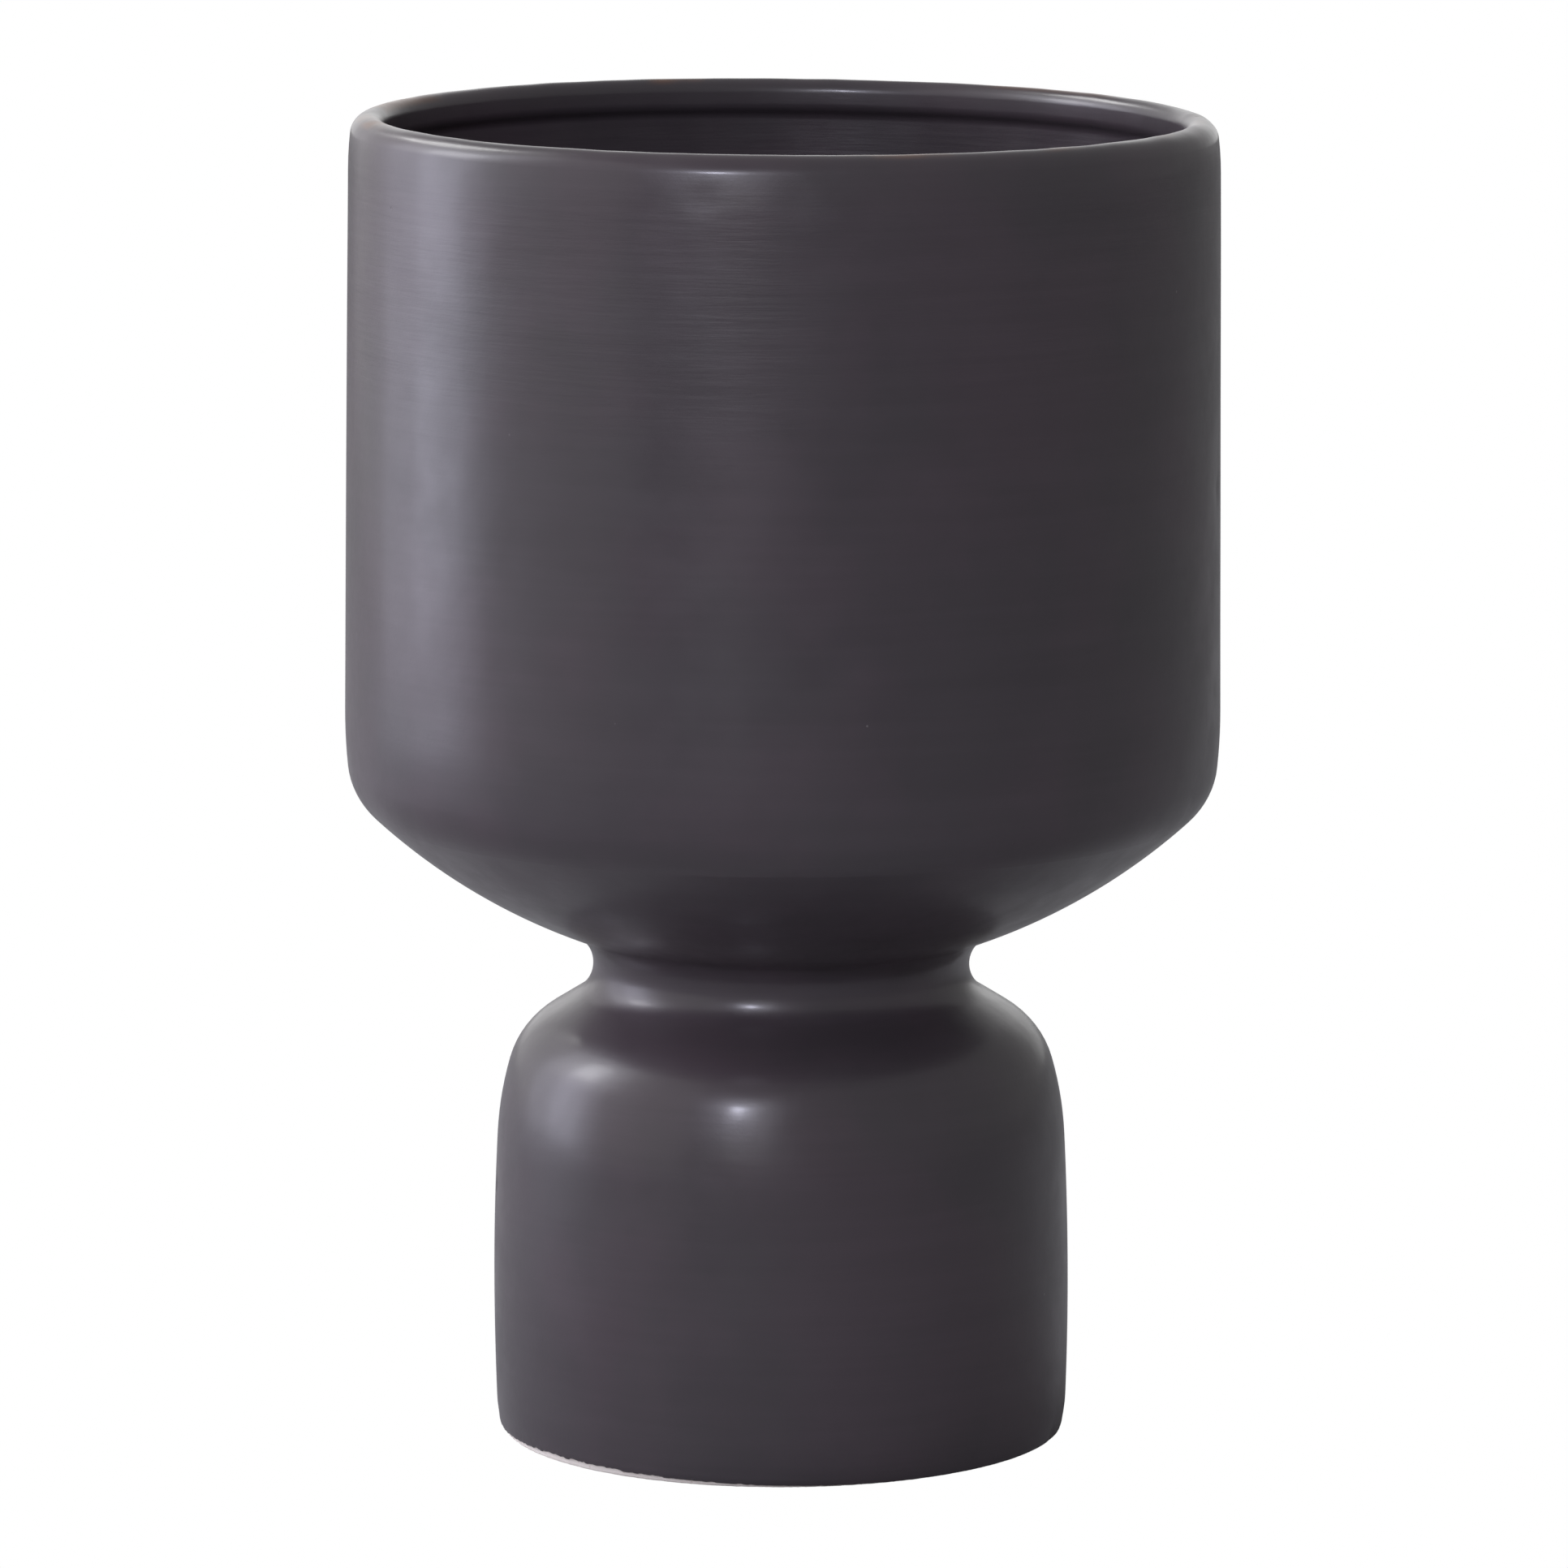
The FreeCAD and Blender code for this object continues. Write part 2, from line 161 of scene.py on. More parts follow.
def beside_straight(straight, side, centre, gap):
    """The centre that lies side along a straight's normal, and gap away from a centre above it."""
    across = side - centre.dot(straight)
    along = Vector((-straight.y, straight.x))
    return centre + across * straight - reach(gap, across) * along


def outline_bends():
    """Bends of the finished outline: name to (centre, radius), the radius negative where it is hollow."""
    neck = Vector((WAIST_RADIUS + NECK_ROUND, WAIST_HEIGHT))
    belly = Vector((BELLY_RADIUS - BELLY_CURVE, BELLY_HEIGHT))
    base_x = belly.x + reach(BELLY_CURVE - BASE_CURVE, BELLY_HEIGHT - BASE_CURVE_HEIGHT)
    base = Vector((base_x, BASE_CURVE_HEIGHT))
    haunch_z = WAIST_HEIGHT - HAUNCH_DROP
    haunch = Vector((belly.x + reach(BELLY_CURVE - HAUNCH_CURVE, haunch_z - BELLY_HEIGHT), haunch_z))
    slope = facing(SHOULDER_SLOPE)
    slope_side = neck.dot(slope) - NECK_ROUND - SHOULDER_ROUND
    across = slope_side - haunch.dot(slope)
    down_slope = Vector((slope.y, -slope.x))
    shoulder = haunch + across * slope + reach(HAUNCH_CURVE - SHOULDER_ROUND, across) * down_slope
    underside = Vector((0, WAIST_HEIGHT + reach(UNDERSIDE_CURVE + NECK_ROUND, neck.x)))
    wall_x = BOWL_RADIUS - WALL_EASE
    corner_x = wall_x + reach(WALL_EASE - CORNER_ROUND, EASE_RISE)
    corner = Vector((corner_x, underside.y - reach(UNDERSIDE_CURVE - CORNER_ROUND, corner_x)))
    wall_foot = Vector((wall_x, corner.y + EASE_RISE))
    crest_x = BOWL_RADIUS - (HEIGHT - wall_foot.y) * math.tan(WALL_DRAFT) - CREST_INSET
    wall = facing(WALL_DRAFT)
    wall_side = wall_foot.dot(wall) + WALL_EASE
    lip = Vector((crest_x, HEIGHT - LIP_ROUND))
    bead = Vector((crest_x - NOSE_ROUND + BEAD_ROUND, HEIGHT - BEAD_HEIGHT))
    recess_side = wall_side - BOWL_INSIDE - RECESS_ROUND
    lip_ease = beside_straight(wall, wall_side - LIP_EASE, lip, LIP_EASE - LIP_ROUND)
    recess = beside_straight(wall, recess_side, bead, BEAD_ROUND + RECESS_ROUND)
    return {
        "base": (base, BASE_CURVE),
        "belly": (belly, BELLY_CURVE),
        "haunch": (haunch, HAUNCH_CURVE),
        "shoulder": (shoulder, SHOULDER_ROUND),
        "neck": (neck, -NECK_ROUND),
        "underside": (underside, UNDERSIDE_CURVE),
        "corner": (corner, CORNER_ROUND),
        "wall_foot": (wall_foot, WALL_EASE),
        "lip_ease": (lip_ease, LIP_EASE),
        "lip": (lip, LIP_ROUND),
        "recess": (recess, RECESS_ROUND),
        "bead": (bead, -BEAD_ROUND),
        "nose": (Vector((crest_x, HEIGHT - NOSE_ROUND)), -NOSE_ROUND),
    }


BENDS = outline_bends()
STRAIGHTS = {"slope": facing(SHOULDER_SLOPE), "wall": facing(WALL_DRAFT), "flank": facing(0)}
INNER_LIP = ("recess", "bead", "flank", "nose")
FOOT_SIDE = ("base", "belly", "haunch", "shoulder", "slope", "neck")
UNDER_BOWL = ("neck", "underside", "corner", "wall_foot", "wall", "lip_ease", "lip")
BOWL_CAVITY = ("underside", "corner", "wall_foot", "wall", "recess", "bead", "flank", "nose")
WIDEST_HEIGHT = BENDS["wall_foot"][0].y
UNDERSIDE_LOW = BENDS["underside"][0].y - UNDERSIDE_CURVE


def layer_bend(name, depth):
    """A bend of the outline at a depth; inside the lip, depths count from the bowl's inner face."""
    centre, radius = BENDS[name]
    under = depth - BOWL_INSIDE if name in INNER_LIP else depth
    return centre, radius - under


def base_radius_at(height, depth=0.0):
    """Radius of the foot's side near the ground, under its first two bends."""
    name = "base" if height < BASE_BEND_TOP else "belly"
    centre, radius = layer_bend(name, depth)
    return centre.x + reach(radius, height - centre.y)


class Profile:
    """An edge chain in the plane of X and Z, grown from its last vertex."""

    def __init__(self, radius, height):
        self.mesh = bmesh.new()
        self.first = self.tip = self.mesh.verts.new((radius * MM, 0, height * MM))

    def bend(self, centre, angle, steps):
        made = bmesh.ops.spin(
            self.mesh,
            geom=[self.tip],
            cent=(centre.x * MM, 0, centre.y * MM),
            axis=(0, -1, 0),
            angle=angle,
            steps=steps,
            use_duplicate=False,
        )
        self.tip = next(v for v in made["geom_last"] if isinstance(v, bmesh.types.BMVert))

    def straight(self, radius, height, row=PLAIN_ROW):
        way = Vector((radius * MM, 0, height * MM)) - self.tip.co
        if way.length < SAME_POINT:
            return
        steps = max(1, math.ceil(way.length / MM / row))
        for _ in range(steps):
            made = bmesh.ops.extrude_vert_indiv(self.mesh, verts=[self.tip])
            self.tip = made["verts"][0]
            bmesh.ops.translate(self.mesh, verts=[self.tip], vec=way / steps)

    def run(self, names, depth, start=None, end=None, row=FINE_ROW, up=True):
        """Follows tangent bends and straights at a depth, between the heights start and end.

        With no start the run reaches the axis, and with no end it reaches the crest, level. It is followed
        downwards if up is false. The chain first goes straight to the run's own start.
        """
        bends = [None if name in STRAIGHTS else layer_bend(name, depth) for name in names]
        normals = [self.end_normal(bends[0], start, on_axis=True)]
        for index in range(len(names) - 1):
            normals.append(self.shared_normal(names, bends, index))
        normals.append(self.end_normal(bends[-1], end, on_axis=False))
        order = range(len(names)) if up else reversed(range(len(names)))
        for index in order:
            low, high = normals[index], normals[index + 1]
            first, last = (low, high) if up else (high, low)
            if bends[index] is None:
                centre, radius = bends[index + 1] if up else bends[index - 1]
                self.straight(*(centre + radius * last), row)
                continue
            centre, radius = bends[index]
            self.straight(*(centre + radius * first), row)
            angle = -first.angle_signed(last)
            step = min(row, max(abs(radius) * BEND_ROW_SHARE, SMALLEST_ROW))
            self.bend(centre, angle, max(2, math.ceil(abs(angle * radius) / step)))

    def shared_normal(self, names, bends, index):
        """The outline's normal where two neighbours meet."""
        for name in names[index:index + 2]:
            if name in STRAIGHTS:
                return STRAIGHTS[name]
        (low, low_radius), (high, high_radius) = bends[index], bends[index + 1]
        return (high - low) / (low_radius - high_radius)

    def end_normal(self, bend, height, on_axis):
        """The outline's normal at a height of its first or last bend."""
        centre, radius = bend
        if height is not None:
            rise = (height - centre.y) / radius
            return Vector((reach(1, rise), rise))
        if on_axis:
            across = -centre.x / radius
            return Vector((across, -reach(1, across)))
        return Vector((0, math.copysign(1, radius)))

    def dome(self, edge, depth, outwards):
        """The bowl's round underside, between the axis and the radius edge."""
        centre, radius = layer_bend("underside", depth)
        sweep = math.asin(edge / radius)
        if outwards:
            self.straight(0, centre.y - radius)
            self.bend(centre, sweep, DOME_STEPS)
        else:
            self.straight(edge, centre.y - reach(radius, edge))
            self.bend(centre, -sweep, DOME_STEPS)

    def close(self):
        self.mesh.edges.new((self.tip, self.first))


def turned(profile):
    """Spins a finished chain once round the vessel's axis, with outward faces and welded poles."""
    mesh = profile.mesh
    bmesh.ops.remove_doubles(mesh, verts=mesh.verts, dist=WELD)
    bmesh.ops.spin(
        mesh,
        geom=mesh.verts[:] + mesh.edges[:],
        cent=(0, 0, 0),
        axis=(0, 0, 1),
        angle=math.tau,
        steps=TURN_STEPS,
        use_merge=True,
        use_duplicate=False,
    )
    bmesh.ops.remove_doubles(mesh, verts=mesh.verts, dist=WELD)
    bmesh.ops.dissolve_degenerate(mesh, edges=mesh.edges, dist=DEGENERATE)
    bmesh.ops.recalc_face_normals(mesh, faces=mesh.faces)
    return mesh


def cut_low_rings(mesh, top):
    """Cuts the long edges that run round the axis below a height into shorter ones."""
    low = []
    for edge in mesh.edges:
        one, other = (vert.co for vert in edge.verts)
        if max(one.z, other.z) >= top * MM or edge.calc_length() <= LONG_EDGE * MM:
            continue
        if abs(one.z - other.z) < WELD and abs(one.xy.length - other.xy.length) < SAME_RING:
            low.append(edge)
    bmesh.ops.subdivide_edges(mesh, edges=low, cuts=EDGE_CUTS, use_grid_fill=True)


# ---------------------------------------------------------------- how the fired vessel strays from true

def smooth(low, high, value):
    """Rises smoothly from 0 at low to 1 at high."""
    t = min(max((value - low) / (high - low), 0.0), 1.0)
    return t * t * (3 - 2 * t)


# Shallow marks of handling: azimuth in degrees from the front towards the right, height, half width along
# the wall, half height and depth.
DENTS = (
    (6.7, 125.6, 6.0, 4.0, 0.26),
    (80.7, 145.3, 2.2, 2.6, 0.3),
    (-10.5, 193.6, 3.2, 1.6, 0.22),
    (1.5, 193.2, 2.4, 1.3, 0.14),
    (-83.3, 38.4, 1.3, 1.5, 0.3),
    (73.0, 1.4, 2.0, 1.4, 0.25),
    (-152.0, 141.0, 9.0, 6.0, 0.14),
    (128.0, 52.0, 4.0, 3.5, 0.12),
)
DENT_REACH = 2.5
DENT_FALL = 1.6

# Unevenness of the cast walls: a mean inset and two noises, each with its scale and its height.
WAVER_MEAN = -0.05
WAVER_SLOW_SCALE = 16.0
WAVER_SLOW = 0.055
WAVER_QUICK_SCALE = 48.0
WAVER_QUICK = 0.02
WAVER_SHIFT = Vector((3.1, 0, 0))

# Zones between which a fault fades in: distances from the axis, and heights.
POLE_ZONE = (0.0, 12.0)
FLOOR_ZONE = (0.0, 3.0)
JOINT_ZONE = (66.0, 78.0)
RIM_ZONE = (150.0, 199.0)

# Waves of the lip's crest: height, waves in a turn and phase.
LIP_WAVES = ((0.05, 2, 0.7), (0.03, 5, 2.0))
LIP_NOISE = 0.06
LIP_NOISE_SCALE = 11
LIP_WAVE_MEAN = -0.02


def azimuth_of(point):
    return math.atan2(point.x, -point.y)


def turn_between(angle, middle, whole):
    """The signed turn from middle to an angle, the shorter way round."""
    return (angle - middle + whole / 2) % whole - whole / 2


def noise_round(azimuth, scale):
    """Noise along a circle round the axis."""
    return noise.noise(Vector((math.sin(azimuth), math.cos(azimuth), 0)) * scale)


def dent_depth(azimuth, radius, height):
    depth = 0.0
    for middle, level, half_width, half_height, deep in DENTS:
        if abs(height - level) > DENT_REACH * half_height:
            continue
        turn = turn_between(azimuth, math.radians(middle), math.tau)
        away = (turn * radius / half_width) ** 2 + ((height - level) / half_height) ** 2
        depth += deep * math.exp(-DENT_FALL * away)
    return depth


def waver(point):
    """Slow unevenness of the cast walls, mostly inwards."""
    slow = noise.noise(point * WAVER_SLOW_SCALE)
    quick = noise.noise(point * WAVER_QUICK_SCALE + WAVER_SHIFT)
    return WAVER_MEAN + WAVER_SLOW * slow + WAVER_QUICK * quick


def lip_wave(azimuth):
    """Height of the lip's crest round the mouth, above or below the slanted level."""
    slow = sum(rise * math.sin(count * azimuth + phase) for rise, count, phase in LIP_WAVES)
    return LIP_NOISE * noise_round(azimuth, LIP_NOISE_SCALE) + slow + LIP_WAVE_MEAN


def settle(mesh):
    """Moves every point of an ideal piece to where firing and handling left it."""
    bowl_turn = math.tan(BOWL_LEAN)
    for vert in mesh.verts:
        point = vert.co / MM
        radius = math.hypot(point.x, point.y)
        azimuth = azimuth_of(point)
        away = Vector((point.x, point.y, 0)) / radius if radius * MM > SAME_POINT else Vector()
        hold = smooth(*POLE_ZONE, radius)
        side = smooth(*FLOOR_ZONE, point.z)
        point += away * hold * (waver(vert.co) * side - dent_depth(azimuth, radius, point.z))
        rim = smooth(*RIM_ZONE, point.z)
        point.z -= rim * math.tan(LIP_SLANT) * point.x
        point.z += rim * lip_wave(azimuth)
        above = smooth(*JOINT_ZONE, point.z)
        point.x += (1 - above) * FOOT_OFFSET + above * ((point.z - WIDEST_HEIGHT) * bowl_turn)
        point.z -= above * bowl_turn * point.x
        vert.co = point * MM


# ---------------------------------------------------------------- pieces

# Edges that turn more than this are shaded as edges.
SHARP = math.radians(38)


def finished(mesh, name, material):
    """Turns a bmesh into a shown piece that stands for the CAD node of the same name."""
    for face in mesh.faces:
        face.smooth = True
    for edge in mesh.edges:
        edge.smooth = len(edge.link_faces) == 2 and edge.calc_face_angle(0) < SHARP
    data = bpy.data.meshes.new(name + "_fired")
    mesh.to_mesh(data)
    mesh.free()
    data.materials.append(material)
    piece = bpy.data.objects.new(name + "_fired", data)
    bpy.context.scene.collection.objects.link(piece)
    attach(piece, "root")
    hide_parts(name)
    return piece


# The wiped hem: heights, and in degrees where it is wiped highest and how wide that is.
HEM_LOW = 0.12
WIPED_HEIGHT = 0.95
WIPED_MIDDLE = -48
WIPED_WIDTH = 52
WIPED_RIGHT_FALL = 1.5
BEHIND_HEIGHT = 0.35
BEHIND_MIDDLE = 150
BEHIND_WIDTH = 40
RAGS = ((0.12, 9), (0.14, 42), (0.11, 95))
WIPED_RAGS = 1.8
PLAIN_RAGS = 0.3
HEM_SWELL = 0.05
SWELL_RISE = 0.7
SWELL_HALF = 0.5


def hem_height(azimuth):
    """Height of the glaze's lower edge: wiped clear of the ring at the front left, near it elsewhere."""
    degrees = math.degrees(azimuth)
    turn = turn_between(degrees, WIPED_MIDDLE, 360)
    wiped = math.exp(-((turn / WIPED_WIDTH) ** 2) * (1.0 if turn < 0 else WIPED_RIGHT_FALL))
    behind = BEHIND_HEIGHT * math.exp(-(turn_between(degrees, BEHIND_MIDDLE, 360) / BEHIND_WIDTH) ** 2)
    ragged = sum(rise * noise_round(azimuth, scale) for rise, scale in RAGS)
    return HEM_LOW + (WIPED_HEIGHT + ragged * WIPED_RAGS) * wiped + behind + PLAIN_RAGS * abs(ragged)


def glaze_hem(mesh):
    """Gives the coat's lower edge its ragged, wiped line, with finer facets along it."""
    cut_low_rings(mesh, HEM_ZONE)
    for vert in mesh.verts:
        height = vert.co.z / MM
        if height >= HEM_TOP:
            continue
        around = Vector((vert.co.x, vert.co.y, 0))
        depth = base_radius_at(height) - around.length / MM
        hem = hem_height(azimuth_of(vert.co))
        share = (height - HEM_START) / (HEM_TOP - HEM_START)
        moved = hem + share * (HEM_TOP - hem)
        swell = HEM_SWELL * math.exp(-((moved - hem - SWELL_RISE) / SWELL_HALF) ** 2)
        new_radius = base_radius_at(moved) - depth + (swell if depth < OUTER_GLAZE / 2 else 0)
        vert.co = around.normalized() * new_radius * MM + UP * moved * MM


def outer_glaze(material):
    """One coat over the foot, the waist and the bowl, up to the lip's crest, with a rounded lower edge."""
    whole = FOOT_SIDE + UNDER_BOWL[1:]
    edge_top = HEM_START + OUTER_GLAZE / 2
    back, face = base_radius_at(edge_top, OUTER_GLAZE), base_radius_at(edge_top)
    profile = Profile(back, edge_top)
    profile.bend(Vector(((back + face) / 2, edge_top)), math.pi, HEM_EDGE_STEPS)
    profile.run(("base",), 0, start=edge_top, end=HEM_ZONE, row=HEM_ROW)
    profile.run(whole, 0, start=HEM_ZONE)
    profile.run(whole, OUTER_GLAZE, start=edge_top, row=PLAIN_ROW, up=False)
    mesh = turned(profile)
    glaze_hem(mesh)
    settle(mesh)
    return finished(mesh, "outer_glaze", material)


def bowl_lining_glaze(material):
    """Lining of the bowl: the round floor, the wall and the rolled bead, up to the crest."""
    profile = Profile(0, UNDERSIDE_LOW + BOWL_INSIDE)
    profile.run(BOWL_CAVITY, BOWL_INSIDE)
    profile.run(BOWL_CAVITY, BOWL_CLAY_INSIDE, row=PLAIN_ROW, up=False)
    mesh = turned(profile)
    settle(mesh)
    return finished(mesh, "bowl_lining_glaze", material)


def foot_lining_glaze(material):
    """Lining of the hollow foot, over the spigot ring and the bowl's underside."""
    lower_end = SPIGOT_END - FOOT_GLAZE
    skin_edge = SPIGOT_INNER - FOOT_GLAZE
    profile = Profile(0, UNDERSIDE_LOW + OUTER_GLAZE)
    profile.dome(SPIGOT_INNER, OUTER_GLAZE, outwards=True)
    profile.straight(SPIGOT_INNER, SPIGOT_END)
    profile.run(FOOT_SIDE, FOOT_CLAY_INSIDE, start=INNER_WIPE, end=SPIGOT_END, row=PLAIN_ROW, up=False)
    profile.run(FOOT_SIDE, FOOT_INSIDE, start=INNER_WIPE, end=lower_end)
    profile.straight(skin_edge, lower_end)
    profile.dome(skin_edge, OUTER_GLAZE - FOOT_GLAZE, outwards=False)
    mesh = turned(profile)
    settle(mesh)
    return finished(mesh, "foot_lining_glaze", material)


def bowl_casting(material):
    """The bowl's clay: wall, lip, floor, neck stub and spigot ring."""
    profile = Profile(0, UNDERSIDE_LOW + BOWL_CLAY_INSIDE)
    profile.run(BOWL_CAVITY, BOWL_CLAY_INSIDE, row=PLAIN_ROW)
    profile.run(UNDER_BOWL, OUTER_GLAZE, start=SEAM_TOP, row=PLAIN_ROW, up=False)
    profile.straight(SPIGOT_OUTER, SEAM_TOP)
    profile.straight(SPIGOT_OUTER, SPIGOT_END)
    profile.straight(SPIGOT_INNER, SPIGOT_END)
    profile.dome(SPIGOT_INNER, OUTER_GLAZE, outwards=False)
    mesh = turned(profile)
    settle(mesh)
    return finished(mesh, "bowl_casting", material)


def foot_casting(material):
    """The foot's clay: hollow bell, open collar and the sponged standing ring."""
    profile = Profile(base_radius_at(RING_EDGE, OUTER_GLAZE), RING_EDGE)
    profile.run(FOOT_SIDE, OUTER_GLAZE, start=RING_EDGE, end=SEAM_BOTTOM, row=PLAIN_ROW)
    profile.run(FOOT_SIDE, FOOT_CLAY_INSIDE, start=RING_EDGE, end=SEAM_BOTTOM, row=PLAIN_ROW, up=False)
    inner = Vector((base_radius_at(RING_EDGE, FOOT_CLAY_INSIDE) + RING_EDGE, RING_EDGE))
    profile.bend(inner, math.pi / 2, RING_EDGE_STEPS)
    outer = Vector((base_radius_at(RING_EDGE, OUTER_GLAZE) - RING_EDGE, RING_EDGE))
    profile.straight(outer.x, 0, row=RING_ROW)
    profile.bend(outer, math.pi / 2, RING_EDGE_STEPS)
    mesh = turned(profile)
    sponge(mesh)
    settle(mesh)
    return finished(mesh, "foot_casting", material)


# The sponged ring's grit: heights, and heights and noise scales of its two grains.
FINE_RING_TOP = 2.0
GRIT_TOP = 6.0
GRIT_GRAINS = ((0.045, 900), (0.03, 2400))
GRIT_LIMIT = 0.02


def sponge(mesh):
    """Leaves the standing ring slightly gritty where it was wiped; the ground contact stays level."""
    cut_low_rings(mesh, FINE_RING_TOP)
    for vert in mesh.verts:
        if vert.co.z > GRIT_TOP * MM:
            continue
        grit = sum(rise * noise.noise(vert.co * scale) for rise, scale in GRIT_GRAINS)
        vert.co += vert.normal * min(grit, GRIT_LIMIT) * MM
        vert.co.z = max(vert.co.z, 0.0)


def luting_slip(material):
    """Ring of joining clay: the flat seam at the waist and the sleeve round the spigot."""
    profile = Profile(SPIGOT_OUTER, SPIGOT_END)
    profile.run(("neck",), FOOT_CLAY_INSIDE, start=SPIGOT_END, end=SEAM_BOTTOM)
    profile.run(("neck",), OUTER_GLAZE, start=SEAM_BOTTOM, end=SEAM_TOP)
    profile.straight(SPIGOT_OUTER, SEAM_TOP)
    profile.close()
    mesh = turned(profile)
    settle(mesh)
    return finished(mesh, "luting_slip", material)


# ---------------------------------------------------------------- surface effects

# Heights of the surface effects, in metres.
PEEL_HEIGHT = 2.2e-5
SPONGE_HEIGHT = 1.6e-5
PIT_HEIGHT = -1.2e-4
GRAIN_HEIGHT = 6e-6
GRIT_HEIGHT = 6e-5

# Noises of the surface: scale, detail and roughness; and how much longer than high the level ones are.
# Those whose scale is an input of their group have only detail and roughness.
CLOUD_NOISE = (4.0, 0.55)
STREAK_NOISE = (5.0, 0.6)
GRIT_NOISE = (6.0, 0.7)
PEEL_NOISE = (330.0, 3.0, 0.5)
SPONGE_NOISE = (38.0, 4.0, 0.6)
GRAIN_NOISE = (2600.0, 2.0, 0.5)
BREAK_NOISE = (34.0, 3.0, 0.5)
STREAK_STRETCH = 26.0
SPONGE_STRETCH = 16.0

# Parts of a pattern's range that fade an effect in.
CLOUD_RANGE = (0.36, 0.64)
STREAK_RANGE = (0.35, 0.65)
BREAK_RANGE = (0.56, 0.66)
GLOSS_RANGE = (0.3, 0.7)
FLECK_RANGE = (0.22, 0.08)

PINHOLES = {"Density": 210.0, "Share": 0.035, "Radius": 0.075}
PALE_SPECKS = {"Density": 330.0, "Share": 0.02, "Radius": 0.07}
SMALLEST_PIT = 0.5


def new_group(name, inputs, outputs):
    """An empty shader group: inputs as name to default, outputs as names of values."""
    group = bpy.data.node_groups.new(name, "ShaderNodeTree")
    for label, default in inputs.items():
        kind = "NodeSocketVector" if label == "Place" else "NodeSocketFloat"
        socket = group.interface.new_socket(label, in_out="INPUT", socket_type=kind)
        if kind == "NodeSocketFloat":
            socket.default_value = default
    for label in outputs:
        group.interface.new_socket(label, in_out="OUTPUT", socket_type="NodeSocketFloat")
    return group, group.nodes.new("NodeGroupInput"), group.nodes.new("NodeGroupOutput")


def fill(tree, node, links):
    """Sets a node's inputs to values, or links them to sockets."""
    for key, value in links.items():
        if isinstance(value, bpy.types.NodeSocket):
            tree.links.new(value, node.inputs[key])
        else:
            node.inputs[key].default_value = value
    return node


def add(tree, kind, links=None, **settings):
    """A node with its settings and its inputs."""
    node = tree.nodes.new("ShaderNode" + kind)
    for key, value in settings.items():
        setattr(node, key, value)
    return fill(tree, node, links or {})


def math_node(tree, operation, first, second):
    return add(tree, "Math", {0: first, 1: second}, operation=operation).outputs[0]


def product(tree, first, second):
    return math_node(tree, "MULTIPLY", first, second)


def total(tree, first, *others):
    for other in others:
        first = math_node(tree, "ADD", first, other)
    return first


def ranged(tree, value, low, high, to_low=0.0, to_high=1.0):
    """The value mapped smoothly from low..high to a new range."""
    links = {"Value": value, "From Min": low, "From Max": high, "To Min": to_low, "To Max": to_high}
    return add(tree, "MapRange", links, interpolation_type="SMOOTHSTEP").outputs["Result"]


def noise_node(tree, place, scale, detail, roughness):
    links = {"Vector": place, "Scale": scale, "Detail": detail, "Roughness": roughness}
    return add(tree, "TexNoise", links).outputs["Fac"]


def stretched(tree, place, stretch):
    """A place whose pattern runs level, longer than high."""
    return add(tree, "Mapping", {"Vector": place, "Scale": (1.0, 1.0, stretch)}).outputs[0]


def height_in(tree, place):
    return add(tree, "SeparateXYZ", {0: place}).outputs["Z"]


def clouds_group():
    """Cloud: slow mottling of the fired glaze. Streak: level marks of the sponge."""
    inputs = {"Place": None, "Cloud Size": 30.0, "Streak Size": 14.0}
    group, given, result = new_group("fired_clouds", inputs, ("Cloud", "Streak"))
    place = given.outputs["Place"]
    level = stretched(group, place, STREAK_STRETCH)
    cloud = noise_node(group, place, given.outputs["Cloud Size"], *CLOUD_NOISE)
    streak = noise_node(group, level, given.outputs["Streak Size"], *STREAK_NOISE)
    fill(group, result, {"Cloud": cloud, "Streak": streak})
    return group


def pinholes_group():
    """Pit: 1 in the middle of sparse round pits, and 0 outside them."""
    group, given, result = new_group("pinholes", {"Place": None, **PINHOLES}, ("Pit",))
    cell_place = {"Vector": given.outputs["Place"], "Scale": given.outputs["Density"]}
    cells = add(group, "TexVoronoi", cell_place)
    pick = add(group, "SeparateColor", {"Color": cells.outputs["Color"]})
    chosen = math_node(group, "LESS_THAN", pick.outputs[0], given.outputs["Share"])
    size = product(group, given.outputs["Radius"], total(group, pick.outputs[1], SMALLEST_PIT))
    inside = ranged(group, cells.outputs["Distance"], size, 0.0)
    fill(group, result, {"Pit": product(group, inside, chosen)})
    return group


def grit_group():
    """Clay grain: Height in metres, and Fleck, the darker specks in the body."""
    inputs = {"Place": None, "Grain": 1500.0, "Flecks": 900.0}
    group, given, result = new_group("clay_grit", inputs, ("Height", "Fleck"))
    place = given.outputs["Place"]
    grain = noise_node(group, place, given.outputs["Grain"], *GRIT_NOISE)
    flecks = add(group, "TexVoronoi", {"Vector": place, "Scale": given.outputs["Flecks"]})
    fleck = ranged(group, flecks.outputs["Distance"], *FLECK_RANGE)
    fill(group, result, {"Height": product(group, grain, GRIT_HEIGHT), "Fleck": fleck})
    return group


